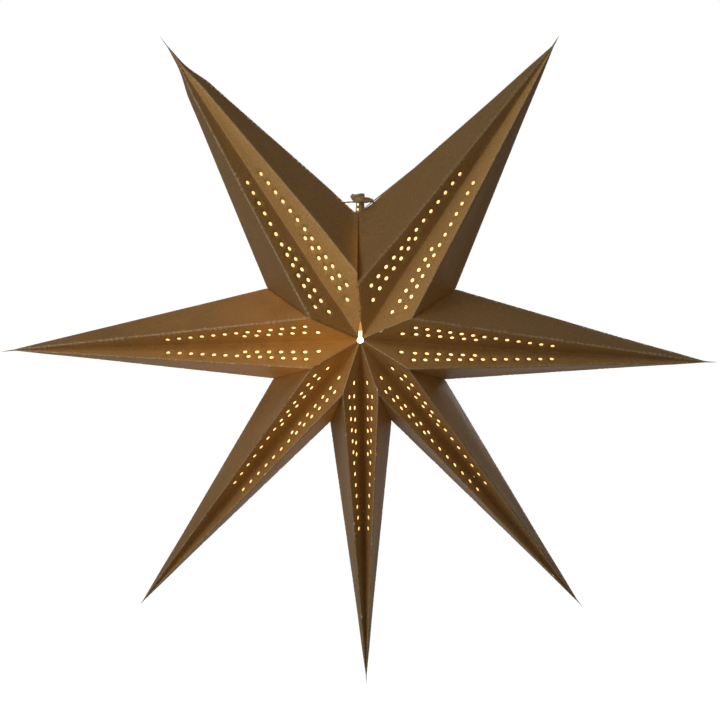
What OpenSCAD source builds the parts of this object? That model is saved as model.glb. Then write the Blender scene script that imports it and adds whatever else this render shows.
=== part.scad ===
// Hanging paper star with seven folded arms, a candle bulb inside and a tied top seam.
// The star is modelled about its centre, with its front towards -Y and up along +Z,
// and then lowered so that the origin lies at the open top of the cord sleeve.

/* [Folded sheet of an arm] */
// Side fold, from the arm's tip to the notch between two arms
side_fold = 221; // [205:0.5:235]
// Centre fold, from the arm's tip to the centre of the star
centre_fold = 295; // [280:0.5:310]
// Distance of the ridge's end from the centre fold, across the flat sheet
ridge_out = 35.1; // [30:0.1:40]
// Distance by which the ridge's end stands back from the star's centre, along the centre fold
ridge_back = 38.4; // [33:0.1:44]
// Height of the star's centre above its middle plane, front and back
centre_rise = 31; // [26:0.5:35]
// Thickness of the card
card_t = 0.4; // [0.25:0.05:0.8]
// Width of the glue flaps inside, where two arms meet
flap_w = 8; // [5:0.5:11]
// Length of the pinched corner that stands past the tip where the folds meet
tip_over = 7; // [2:0.5:12]
// Distance from the fold tip at which the pinched corner starts
tip_neck = 16; // [10:1:24]
// Distance from the fold tip over which the folded layers lie solid
tip_solid = 26; // [20:1:40]

/* [Directions of the arms] */
// Bottom arm, in degrees counter-clockwise from +X
bottom_angle = 271; // [266:0.5:276]
// Lower right arm
lower_right_angle = 309; // [304:0.5:314]
// Right arm
right_angle = 355.5; // [350:0.5:360]
// Upper right arm
upper_right_angle = 56.5; // [52:0.5:61]
// Upper left arm
upper_left_angle = 123.5; // [119:0.5:128]
// Left arm
left_angle = 182.5; // [178:0.5:188]
// Lower left arm
lower_left_angle = 231; // [226:0.5:236]
// How far the tie draws the top notch outwards
tie_lift = 7.5; // [0:0.5:12]

/* [Punched holes] */
// Diameter of a punched hole
hole_d = 3.5; // [2:0.1:4.5]
// Holes in the long row beside a ridge fold
ridge_row_count = 13; // [4:1:16]
// Pitch of the long row
ridge_row_pitch = 9.8; // [7:0.1:11]
// Distance along the ridge from its end to the first hole
ridge_row_start = 7; // [4:0.5:14]
// Distance of the first hole from the ridge fold
ridge_row_inset = 12.2; // [8:0.1:14]
// Distance of the last hole from the ridge fold
ridge_row_last_inset = 9.3; // [7:0.1:11]
// Holes in the short row beside a centre fold
centre_row_count = 6; // [2:1:9]
// Pitch of the short row
centre_row_pitch = 10.1; // [7:0.1:12]
// Distance along the centre fold from the star's centre to the first hole
centre_row_start = 45.2; // [40:0.1:52]
// Distance of the first hole from the centre fold
centre_row_inset = 12.9; // [9:0.1:15]
// Distance of the last hole from the centre fold
centre_row_last_inset = 10.7; // [8:0.1:13]
// Distance along the centre fold from the star's centre to the single hole
single_start = 33.9; // [28:0.1:37]
// Distance of the single hole from the centre fold
single_inset = 12.5; // [9:0.1:14]

/* [Centre and seam] */
// Opening left at the star's centre where the seven corners meet
eye_d = 5.2; // [2:0.1:8]
// Width of the open top seam at the star's centre
slit_w = 3.2; // [1:0.1:5]
// Height above the centre at which the top seam closes
slit_h = 17; // [8:0.5:26]

/* [Cord sleeve and tie] */
// Outer diameter of the rolled paper sleeve
sleeve_d = 7.6; // [6:0.1:9]
// Wall of the sleeve
sleeve_t = 0.7; // [0.5:0.1:1.2]
// Height of the sleeve above the top notch
sleeve_rise = 17; // [14:0.5:24]
// Diameter of the two holes punched in the sleeve
sleeve_hole_d = 2.2; // [1:0.1:3]
// Height of the lower sleeve hole above the top notch
sleeve_hole_low = 0.8; // [0.5:0.1:2]
// Distance between the two sleeve holes
sleeve_hole_gap = 7.2; // [5:0.1:9]
// Play between the sleeve and the card round it
sleeve_play = 0.2; // [0.1:0.05:0.5]
// Height of the tie's knot above the top notch
tie_rise = 12; // [11:0.5:14]
// Width of the paper ribbon of the tie
ribbon_w = 4.4; // [2:0.1:5]
// Thickness of the ribbon where it is wound and looped
ribbon_t = 0.9; // [0.6:0.1:1.2]
// Width of the knot on the front of the sleeve
knot_w = 5; // [4:0.1:6]
// Depth of the knot, from its front to the wound ribbon
knot_depth = 4.6; // [4:0.1:5.5]
// Reach of the left loop of the bow from the sleeve's axis
loop_left = 8.5; // [7.5:0.5:11]
// Reach of the right loop of the bow from the sleeve's axis
loop_right = 12.5; // [8:0.5:14]
// Depth of a loop, from its front to its back
loop_depth = 4.2; // [3:0.1:5]
// Angle at which the left loop rises outwards
left_loop_angle = 28; // [10:1:40]
// Angle at which the right loop rises outwards
right_loop_angle = 2; // [-4:1:20]
// Height of the strands above the top notch
strand_rise = 10; // [8.5:0.5:11]
// Diameter of the twisted strand that goes through each arm
strand_d = 1.6; // [1:0.1:2.4]
// Play of a strand in its hole in the card
strand_play = 0.3; // [0.1:0.05:0.6]
// Diameter of the stop knot at the end of a strand inside the arm
stop_knot_d = 4; // [3:0.1:6]
// Play of a stop knot inside the arm's fold
knot_play = 0.3; // [0.1:0.05:0.6]

/* [Lamp] */
// Diameter of the candle bulb's glass
bulb_d = 35; // [30:0.5:36]
// Length of the glass from its neck to its tip
glass_l = 72; // [60:1:80]
// Length of the glass from its neck to its widest place
belly_l = 30; // [22:1:36]
// Height of the glass's neck above the star's centre
neck_z = 30; // [24:0.5:36]
// Diameter of the bulb's screw cap
screw_d = 13.8; // [12:0.1:14]
// Length of the screw cap
screw_l = 23; // [18:0.5:26]
// Outer diameter of the lamp holder
holder_d = 28; // [24:0.5:30]
// Wall of the lamp holder
holder_t = 1.8; // [1.2:0.1:2.5]
// Height of the holder's lower rim above the star's centre
holder_z = 27; // [22:0.5:30]
// Length of the holder's barrel
barrel_l = 30; // [26:0.5:34]
// Height of the holder's tapered cap
cap_h = 13; // [11:0.5:15]
// Diameter of the cap's upper end
cap_neck_d = 13; // [11:0.5:18]
// Length of the contact insert that takes the screw cap
insert_l = 22; // [16:0.5:26]
// Depth to which the sleeve is seated in the holder's cap
sleeve_seat = 7; // [4:0.5:9]
// Play between the screw cap and the contact insert
screw_play = 0.2; // [0.1:0.05:0.4]

/* [Hidden] */
ARMS = ["arm_bottom", "arm_lower_right", "arm_right", "arm_upper_right",
        "arm_upper_left", "arm_left", "arm_lower_left"];

card_colour = [0.48, 0.39, 0.26];
arm_count = len(ARMS);
turn = 360;
// Directions in rising order, so that each differs from the next by the gap between two arms
directions = [bottom_angle, lower_right_angle, right_angle, upper_right_angle + turn,
              upper_left_angle + turn, left_angle + turn, lower_left_angle + turn];
top_seam = 4;

tip_radius = sqrt(centre_fold * centre_fold - centre_rise * centre_rise);
ridge_fold = norm([centre_fold - ridge_back, ridge_out]);
inner_edge = norm([ridge_back, ridge_out]);
// How far a cut runs past the face that it opens
past = 1;

// Seam k lies between arm k - 1 and arm k, and seam arm_count is seam 0 one turn on
function direction(k) = k < 0 ? directions[k + arm_count] - turn
                      : k < arm_count ? directions[k] : directions[k - arm_count] + turn;
function seam_angle(k) = (direction(k - 1) + direction(k)) / 2;
function seam_half_gap(k) = (direction(k) - direction(k - 1)) / 2;
function seam_lift(k) = k == top_seam ? tie_lift : 0;

// Distance of the notch from the star's axis, where the side fold has its length
function notch_radius(k) =
    let (a = seam_half_gap(k), across = tip_radius * sin(a))
    tip_radius * cos(a) - sqrt(side_fold * side_fold - across * across) + seam_lift(k);

// End of the ridge as [distance from the axis, height above the middle plane], at which both
// the ridge fold and the inner edge have their lengths
function ridge_end(k) =
    let (along = tip_radius * cos(seam_half_gap(k)),
         p = (tip_radius * tip_radius + inner_edge * inner_edge
              - centre_rise * centre_rise - ridge_fold * ridge_fold) / (2 * along),
         q = centre_rise / along,
         a = q * q + 1,
         b = p * q - centre_rise,
         c = p * p + centre_rise * centre_rise - inner_edge * inner_edge,
         h = (-b + sqrt(b * b - a * c)) / a)
    [p + q * h, h];

// A place given by its direction, its distance from the axis and its height to the front
function place(angle, r, h) = [r * cos(angle), -h, r * sin(angle)];
function tip(k) = place(direction(k), tip_radius, 0);
function unit(v) = v / norm(v);

// The eight ends of an arm's folds, once round: notch, ridge, centre, ridge on the front,
// and the same on the back
function fold_ends(k) =
    let (r0 = ridge_end(k), r1 = ridge_end(k + 1),
         a0 = seam_angle(k), a1 = seam_angle(k + 1))
    [place(a0, notch_radius(k), 0),
     place(a0, r0[0], r0[1]),
     place(0, 0, centre_rise),
     place(a1, r1[0], r1[1]),
     place(a1, notch_radius(k + 1), 0),
     place(a1, r1[0], -r1[1]),
     place(0, 0, -centre_rise),
     place(a0, r0[0], -r0[1])];
fold_count = 8;
function next(i) = (i + 1) % fold_count;
function before(i) = (i + fold_count - 1) % fold_count;

// Inward normals of the panels, each between a fold and the next
function panel_normals(t, ends) =
    [for (i = [0 : fold_count - 1]) unit(cross(ends[i] - t, ends[next(i)] - t))];
// The step from a fold to the same fold on the inner face of the card
function mitres(normals) =
    [for (i = [0 : fold_count - 1])
        let (a = normals[before(i)], b = normals[i]) card_t * (a + b) / (1 + a * b)];

// Faces of a closed tube of two rings of points and the two seam planes at its end
ring_faces = [for (i = [0 : fold_count - 1])
    [i, next(i), fold_count + next(i), fold_count + i]];
end_faces = [[2, 1, 0], [2, 0, 7], [2, 7, 6], [6, 5, 4], [6, 4, 3], [6, 3, 2]];

// Outer form of a folded arm, closed at the seams
module arm_outside(k) {
    t = tip(k);
    ends = fold_ends(k);
    neck = [for (e = ends) t + tip_neck * unit(e - t)];
    point = t + tip_over * unit(t);
    closing = [for (i = [0 : fold_count - 1])
        [fold_count + i, fold_count + next(i), 2 * fold_count]];
    polyhedron(concat(ends, neck, [point]), concat(ring_faces, end_faces, closing));
}

// Hollow of a folded arm, carried a little past both seams
module arm_inside(k) {
    past_seam = 1.15;
    t = tip(k);
    ends = fold_ends(k);
    step = mitres(panel_normals(t, ends));
    far = [for (i = [0 : fold_count - 1]) t + past_seam * (ends[i] - t) + step[i]];
    near = [for (i = [0 : fold_count - 1]) t + tip_solid * unit(ends[i] - t) + step[i]];
    middle = (near[0] + near[4]) / 2;
    closing = [for (i = [0 : fold_count - 1])
        [fold_count + i, fold_count + next(i), 2 * fold_count]];
    polyhedron(concat(far, near, [middle]), concat(ring_faces, end_faces, closing));
}

// Glue flaps in one seam plane: a layer of card with a window, as wide as flap_w leaves it
module seam_flaps(k, side) {
    reach = 2 * centre_fold;
    ridge = ridge_end(k);
    notch = [notch_radius(k), 0];
    edge_in = unit(ridge - [0, centre_rise]);
    edge_out = unit(notch - ridge);
    in_in = [edge_in[1], -edge_in[0]];
    in_out = [edge_out[1], -edge_out[0]];
    corner = ridge + flap_w * (in_in + in_out) / (1 + in_in * in_out);
    window_notch = corner - edge_out * corner[1] / edge_out[1];
    window_centre = corner - edge_in * (corner[0] + flap_w) / edge_in[0];
    past_seam = centre_rise;
    rotate([0, -seam_angle(k), 0])
        translate([0, 0, side > 0 ? -past_seam : -card_t])
            linear_extrude(card_t + past_seam)
                difference() {
                    square(reach, center = true);
                    polygon([window_notch, corner, window_centre,
                             [window_centre[0], -window_centre[1]], [corner[0], -corner[1]]]);
                }
}

// Frame on a panel, from the star's centre along the centre fold, across towards the ridge
// and square to the card
module on_panel(t, centre, ridge) {
    along = unit(t - centre);
    over = unit((ridge - centre) - along * ((ridge - centre) * along));
    square_to = cross(along, over);
    multmatrix([[along[0], over[0], square_to[0], centre[0]],
                [along[1], over[1], square_to[1], centre[1]],
                [along[2], over[2], square_to[2], centre[2]],
                [0, 0, 0, 1]])
        children();
}

module punch(x, y) {
    punch_depth = card_t + past;
    translate([x, y, -punch_depth])
        cylinder(d = hole_d, h = 2 * punch_depth, $fn = 24);
}

// The holes of one panel, in the panel's frame
module panel_holes() {
    ridge_dir = unit([centre_fold - ridge_back, -ridge_out]);
    ridge_in = [-abs(ridge_dir[1]), -ridge_dir[0]];
    for (i = [0 : ridge_row_count - 1]) {
        inset = ridge_row_inset
            + (ridge_row_last_inset - ridge_row_inset) * i / (ridge_row_count - 1);
        p = [ridge_back, ridge_out] + ridge_dir * (ridge_row_start + i * ridge_row_pitch)
            + ridge_in * inset;
        punch(p[0], p[1]);
    }
    for (i = [0 : centre_row_count - 1]) {
        inset = centre_row_inset
            + (centre_row_last_inset - centre_row_inset) * i / (centre_row_count - 1);
        punch(centre_row_start + i * centre_row_pitch, inset);
    }
    punch(single_start, single_inset);
}

// The two inner panels of an arm's front are punched, and its back is plain
module arm_holes(k) {
    t = tip(k);
    ends = fold_ends(k);
    centre = ends[2];
    for (ridge = [ends[1], ends[3]])
        on_panel(t, centre, ridge) panel_holes();
}

opening_depth = 2 * (centre_rise + flap_w);

// The eye at the star's centre
module eye() {
    rotate([90, 0, 0])
        cylinder(d = eye_d, h = opening_depth, center = true, $fn = 32);
}

// The open end of the top seam
module seam_slit() {
    rotate([90, 0, 0])
        linear_extrude(opening_depth, center = true)
            polygon([[-slit_w / 2, 0], [slit_w / 2, 0], [0, slit_h]]);
}

notch_z = notch_radius(top_seam);
sleeve_top = notch_z + sleeve_rise;
barrel_top = holder_z + barrel_l;
cap_top = barrel_top + cap_h;
tie_z = notch_z + tie_rise;
strand_z = notch_z + strand_rise;
bore_d = sleeve_d - 2 * sleeve_t;

// Distance from the sleeve's axis at which a stop knot lies just inside the arm's card
function stop_reach(k) =
    let (t = tip(k),
         panel = k == top_seam ? 0 : fold_count / 2 - 1,
         inward = panel_normals(t, fold_ends(k))[panel],
         outwards = t[0] < 0 ? -1 : 1,
         depth = card_t + knot_play + stop_knot_d / 2)
    outwards * (depth - inward * ([0, 0, strand_z] - t)) / inward[0];

module hang() {
    translate([0, 0, -sleeve_top]) children();
}

// Passage for the sleeve and the strand through an upper arm, turned so that no cylinder
// starts on a fold
module tie_passage(k) {
    off_fold = tip(k)[0] < 0 ? 40 : 100;
    translate([0, 0, notch_z - sleeve_rise])
        rotate(off_fold)
            cylinder(d = sleeve_d + 2 * sleeve_play, h = 2 * sleeve_rise, $fn = 48);
    translate([0, 0, strand_z])
        rotate([0, tip(k)[0] < 0 ? -90 : 90, 0])
            translate([0, 0, -sleeve_d])
                rotate(off_fold)
                    cylinder(d = strand_d + 2 * strand_play, h = sleeve_d + stop_reach(k),
                             $fn = 24);
}

module arm(k) {
    color(card_colour)
        hang()
            difference() {
                arm_outside(k);
                difference() {
                    arm_inside(k);
                    seam_flaps(k, 1);
                    seam_flaps(k + 1, -1);
                }
                arm_holes(k);
                eye();
                if (k == top_seam || k + 1 == top_seam) {
                    seam_slit();
                    tie_passage(k);
                }
            }
}

// Rolled paper tube that carries the lamp, comes out at the top notch and takes the lead
module cord_sleeve() {
    bottom = cap_top - sleeve_seat;
    color("#8a744b")
        hang()
            difference() {
                translate([0, 0, bottom])
                    cylinder(d = sleeve_d, h = sleeve_top - bottom, $fn = 64);
                translate([0, 0, bottom - past])
                    cylinder(d = bore_d, h = sleeve_top - bottom + 2 * past, $fn = 64);
                for (z = [0, sleeve_hole_gap])
                    translate([0, 0, notch_z + sleeve_hole_low + z])
                        rotate([90, 0, 0])
                            cylinder(d = sleeve_hole_d, h = sleeve_d, $fn = 24);
            }
}

// Loop of ribbon that stands out from the knot along +X and turns back in depth
module ribbon_loop(reach, rise_angle) {
    start = knot_w / 3;
    middle = reach - loop_depth / 2;
    shoulder = 0.47 * loop_depth;
    rotate([0, -rise_angle, 0])
        linear_extrude(ribbon_w, center = true)
            difference() {
                union() {
                    translate([middle, 0]) circle(d = loop_depth, $fn = 32);
                    polygon([[start, -ribbon_t], [middle, -shoulder],
                             [middle, shoulder], [start, ribbon_t]]);
                }
                translate([middle, 0]) circle(d = loop_depth - 2 * ribbon_t, $fn = 32);
            }
}

// Strand from the sleeve through an upper arm's side fold, with a stop knot inside the arm
module strand(k) {
    translate([0, 0, strand_z])
        rotate([0, tip(k)[0] < 0 ? -90 : 90, 0]) {
            cylinder(d = strand_d, h = stop_reach(k), $fn = 24);
            translate([0, 0, stop_reach(k)]) sphere(d = stop_knot_d, $fn = 32);
        }
}

// Ribbon wound round the sleeve and knotted into a bow, with a strand through each upper arm
module tie_bow() {
    wound_d = sleeve_d + 2 * ribbon_t;
    wound_bottom = strand_z - strand_d / 2 - ribbon_t / 2;
    wound_top = tie_z + ribbon_w / 2;
    bow_y = -(wound_d + knot_depth - ribbon_t) / 2;
    color("#7d6234")
        hang()
            difference() {
                union() {
                    translate([0, 0, wound_bottom])
                        cylinder(d = wound_d, h = wound_top - wound_bottom, $fn = 64);
                    strand(top_seam - 1);
                    strand(top_seam);
                    translate([0, bow_y, tie_z]) {
                        rotate([90, 0, 0])
                            cylinder(d = knot_w, h = knot_depth, center = true, $fn = 32);
                        ribbon_loop(loop_right, right_loop_angle);
                        rotate(180) ribbon_loop(loop_left, left_loop_angle);
                    }
                }
                translate([0, 0, notch_z]) cylinder(d = sleeve_d, h = sleeve_rise, $fn = 64);
            }
}

// Tapered upper part of the lamp holder, bored for the sleeve
module holder_cap() {
    hollow_d = cap_neck_d - 2 * holder_t;
    color("#26221e")
        hang()
            difference() {
                translate([0, 0, barrel_top])
                    cylinder(d1 = holder_d, d2 = cap_neck_d, h = cap_h, $fn = 64);
                translate([0, 0, barrel_top - past])
                    cylinder(d = hollow_d, h = past + cap_h - sleeve_seat - holder_t, $fn = 64);
                translate([0, 0, barrel_top])
                    cylinder(d = bore_d, h = cap_h, $fn = 64);
                translate([0, 0, cap_top - sleeve_seat])
                    cylinder(d = sleeve_d, h = cap_h, $fn = 64);
            }
}

// Barrel of the lamp holder, open below
module holder_barrel() {
    color("#26221e")
        hang()
            difference() {
                translate([0, 0, holder_z]) cylinder(d = holder_d, h = barrel_l, $fn = 64);
                translate([0, 0, holder_z - past])
                    cylinder(d = holder_d - 2 * holder_t, h = barrel_l + 2 * past, $fn = 64);
            }
}

// Contact insert that fills the barrel's upper end and takes the bulb's screw cap
module contact_insert() {
    bottom = barrel_top - insert_l;
    color("#d8d2c4")
        hang()
            difference() {
                translate([0, 0, bottom])
                    cylinder(d = holder_d - 2 * holder_t, h = insert_l, $fn = 64);
                translate([0, 0, bottom - past])
                    cylinder(d = screw_d + 2 * screw_play,
                             h = neck_z + screw_l - bottom + past, $fn = 64);
            }
}

// Half width of the bulb's glass at a distance from its neck: a swelling shoulder down to the
// widest place and a drawn-out nose below it
function glass_r(d) =
    let (neck_r = screw_d / 2, full_r = bulb_d / 2)
    d < belly_l ? neck_r + (full_r - neck_r) * sin(90 * d / belly_l)
                : full_r * pow(max(0, 1 - pow((d - belly_l) / (glass_l - belly_l), 2)), 0.7);

// Sealed candle bulb with its screw cap, hanging tip down
module candle_bulb() {
    steps = 24;
    contact_r = screw_d / 3;
    chamfer = 3;
    outline = [for (i = [1 : steps - 1])
        let (d = glass_l * i / steps) [glass_r(d), d]];
    color("#fff1c4")
        hang()
            translate([0, 0, neck_z])
                rotate([180, 0, 0])
                    rotate_extrude($fn = 64)
                        polygon(concat([[0, -screw_l], [contact_r, -screw_l],
                                        [screw_d / 2, chamfer - screw_l], [screw_d / 2, 0]],
                                       outline, [[0, glass_l]]));
}

for (k = [0 : arm_count - 1])
    arm(k);
cord_sleeve();
tie_bow();
holder_cap();
holder_barrel();
contact_insert();
candle_bulb();
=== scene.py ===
# Looks of the hanging paper star: folded card arms with punched holes, cord sleeve, bow and lamp.
# The folds' places come from the same named sizes as the solids, in millimetres about the
# star's centre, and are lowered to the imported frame, whose origin is the sleeve's open top.
import itertools
import math
import random

import bpy
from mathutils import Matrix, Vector
from mathutils.geometry import delaunay_2d_cdt


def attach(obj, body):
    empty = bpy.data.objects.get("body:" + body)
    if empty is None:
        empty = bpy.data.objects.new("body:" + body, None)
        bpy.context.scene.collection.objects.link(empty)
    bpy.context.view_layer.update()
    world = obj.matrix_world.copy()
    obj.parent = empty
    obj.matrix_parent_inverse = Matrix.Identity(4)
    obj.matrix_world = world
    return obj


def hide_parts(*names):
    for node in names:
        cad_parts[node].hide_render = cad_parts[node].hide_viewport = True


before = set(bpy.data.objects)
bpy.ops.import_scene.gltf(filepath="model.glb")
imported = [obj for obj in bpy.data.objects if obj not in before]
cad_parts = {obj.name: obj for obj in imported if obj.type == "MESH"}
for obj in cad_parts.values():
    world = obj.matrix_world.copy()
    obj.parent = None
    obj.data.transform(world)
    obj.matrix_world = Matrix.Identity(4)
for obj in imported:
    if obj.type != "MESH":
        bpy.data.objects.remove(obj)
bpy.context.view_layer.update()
scene = bpy.context.scene

MM = 0.001

# Sizes of the folded sheet, as in the solids
SIDE_FOLD = 221.0
CENTRE_FOLD = 295.0
RIDGE_OUT = 35.1
RIDGE_BACK = 38.4
RIDGE_FOLD = math.hypot(CENTRE_FOLD - RIDGE_BACK, RIDGE_OUT)
INNER_EDGE = math.hypot(RIDGE_BACK, RIDGE_OUT)
CENTRE_RISE = 31.0
CARD_T = 0.4
FLAP_W = 8.0
TIE_LIFT = 7.5
HOLE_D = 3.5
EYE_D = 5.4
SLIT_W = 3.1
SLIT_H = 17.0
SLEEVE_RISE = 17.0
SLEEVE_D = 7.6
TOP_SEAM = 4
ARMS = ["arm_bottom", "arm_lower_right", "arm_right", "arm_upper_right",
        "arm_upper_left", "arm_left", "arm_lower_left"]
DIRECTIONS = [271.0, 309.0, 355.5, 56.5 + 360, 123.5 + 360, 182.5 + 360, 231.0 + 360]
# How far each arm's pinched corner stands past the tip where the folds meet, how far the thin
# end is bent sideways, counter-clockwise seen from the front, and how much of it is drawn thin
TIP_OVER = [4.6, 5.2, 7.6, 7.4, 8.2, 8.8, 1.2]
TIP_BEND = [0.0, 0.2, 0.7, 0.9, 0.8, 1.3, 0.0]
THIN = 3.5
COUNT = len(ARMS)
TIP_RADIUS = math.sqrt(CENTRE_FOLD ** 2 - CENTRE_RISE ** 2)


def direction(k):
    if k < 0:
        return DIRECTIONS[k + COUNT] - 360
    if k < COUNT:
        return DIRECTIONS[k]
    return DIRECTIONS[k - COUNT] + 360


def seam_angle(k):
    return (direction(k - 1) + direction(k)) / 2


def half_gap(k):
    return math.radians(direction(k) - direction(k - 1)) / 2


def notch_radius(k):
    a = half_gap(k)
    across = TIP_RADIUS * math.sin(a)
    lift = TIE_LIFT if k == TOP_SEAM else 0.0
    return TIP_RADIUS * math.cos(a) - math.sqrt(SIDE_FOLD ** 2 - across ** 2) + lift


def ridge_end(k):
    along = TIP_RADIUS * math.cos(half_gap(k))
    p = (TIP_RADIUS ** 2 + INNER_EDGE ** 2 - CENTRE_RISE ** 2 - RIDGE_FOLD ** 2) / (2 * along)
    q = CENTRE_RISE / along
    a = q * q + 1
    b = p * q - CENTRE_RISE
    c = p * p + CENTRE_RISE ** 2 - INNER_EDGE ** 2
    h = (-b + math.sqrt(b * b - a * c)) / a
    return p + q * h, h


def place(angle, r, h):
    t = math.radians(angle)
    return Vector((r * math.cos(t), -h, r * math.sin(t)))


NOTCH_Z = notch_radius(TOP_SEAM)
SLEEVE_TOP = NOTCH_Z + SLEEVE_RISE
LAMP = Vector((0, 0, -6))


def to_row(p):
    return Vector((p.x * MM, p.y * MM, (p.z - SLEEVE_TOP) * MM))


# Camera, set from the fit of the fold lines to the photograph
SENSOR = 36.0
FOCAL_PIXELS = 5070.0
PICTURE_PIXELS = 720.0
CAMERA_AWAY = 4.25
CAMERA_HEIGHT = math.radians(8)
AIM = Vector((-0.2, 0, -21.1))
cam_data = bpy.data.cameras.new("camera")
cam_data.sensor_width = SENSOR
cam_data.sensor_fit = "HORIZONTAL"
cam_data.lens = FOCAL_PIXELS * SENSOR / PICTURE_PIXELS
cam_data.clip_end = 100
cam = bpy.data.objects.new("camera", cam_data)
scene.collection.objects.link(cam)
target = to_row(AIM)
cam.location = target + CAMERA_AWAY * Vector((0, -math.cos(CAMERA_HEIGHT), math.sin(CAMERA_HEIGHT)))
cam.rotation_euler = (math.pi / 2 - CAMERA_HEIGHT, 0, 0)
scene.camera = cam


# Shader helpers
class Nodes:
    def __init__(self, name):
        self.mat = bpy.data.materials.new(name)
        self.mat.use_nodes = True
        self.tree = self.mat.node_tree
        self.tree.nodes.clear()
        self.out = self.tree.nodes.new("ShaderNodeOutputMaterial")

    def add(self, kind, **settings):
        node = self.tree.nodes.new(kind)
        for key, value in settings.items():
            if hasattr(node, key):
                setattr(node, key, value)
            else:
                node.inputs[key.replace("_", " ")].default_value = value
        return node

    def link(self, a, b):
        self.tree.links.new(a, b)

    def math(self, op, a, b=None, clamp=False):
        node = self.tree.nodes.new("ShaderNodeMath")
        node.operation = op
        node.use_clamp = clamp
        for i, value in enumerate((a, b)):
            if value is None:
                continue
            if isinstance(value, (int, float)):
                node.inputs[i].default_value = value
            else:
                self.link(value, node.inputs[i])
        return node.outputs[0]

    def ramp(self, fac, low, high):
        node = self.tree.nodes.new("ShaderNodeMapRange")
        node.inputs["From Min"].default_value = low
        node.inputs["From Max"].default_value = high
        self.link(fac, node.inputs["Value"])
        return node.outputs[0]

    def mix(self, fac, a, b, blend="MIX"):
        node = self.tree.nodes.new("ShaderNodeMix")
        node.data_type = "RGBA"
        node.blend_type = blend
        for socket, value in ((node.inputs[0], fac), (node.inputs[6], a), (node.inputs[7], b)):
            if isinstance(value, (int, float)):
                socket.default_value = value
            elif isinstance(value, tuple):
                socket.default_value = value if len(value) == 4 else value + (1,)
            else:
                self.link(value, socket)
        return node.outputs[2]

    def coords(self, scale=(1000, 1000, 1000), rotation=(0, 0, 0)):
        tex = self.add("ShaderNodeTexCoord")
        mapping = self.tree.nodes.new("ShaderNodeMapping")
        mapping.inputs["Scale"].default_value = scale
        mapping.inputs["Rotation"].default_value = rotation
        self.link(tex.outputs["Object"], mapping.inputs["Vector"])
        return mapping.outputs[0]

    def noise(self, vector, scale, detail=2.0, rough=0.5, distortion=0.0):
        node = self.tree.nodes.new("ShaderNodeTexNoise")
        node.inputs["Scale"].default_value = scale
        node.inputs["Detail"].default_value = detail
        node.inputs["Roughness"].default_value = rough
        node.inputs["Distortion"].default_value = distortion
        self.link(vector, node.inputs["Vector"])
        return node.outputs[0]


CARD = (0.200, 0.140, 0.075)
CARD_LIGHT = (0.262, 0.192, 0.110)
CARD_DARK = (0.150, 0.100, 0.050)
PALE_WEAR_AND_HIGHLIGHT = (0.56, 0.47, 0.34)
# Outer and inner panel tints: the inner one is lighter and warmer, painted warm light of the lamp
# coming through the card
OUTER_TINT = (0.88, 0.755, 0.57)
INNER_LAMPLIT_TINT = (1.21, 0.98, 0.63)
CARD_GLOW = (1.0, 0.34, 0.03)
JOINT_SHADE = 0.75
CARD_SPECULAR = 0.03
# Painted sheen: the front panels painted lighter than the rest, for the light their surface
# catches, by arm and panel
PAINTED_SHEEN_PANELS = {(4, 1): 1.85, (3, 1): 1.40, (5, 2): 1.15}


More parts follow.
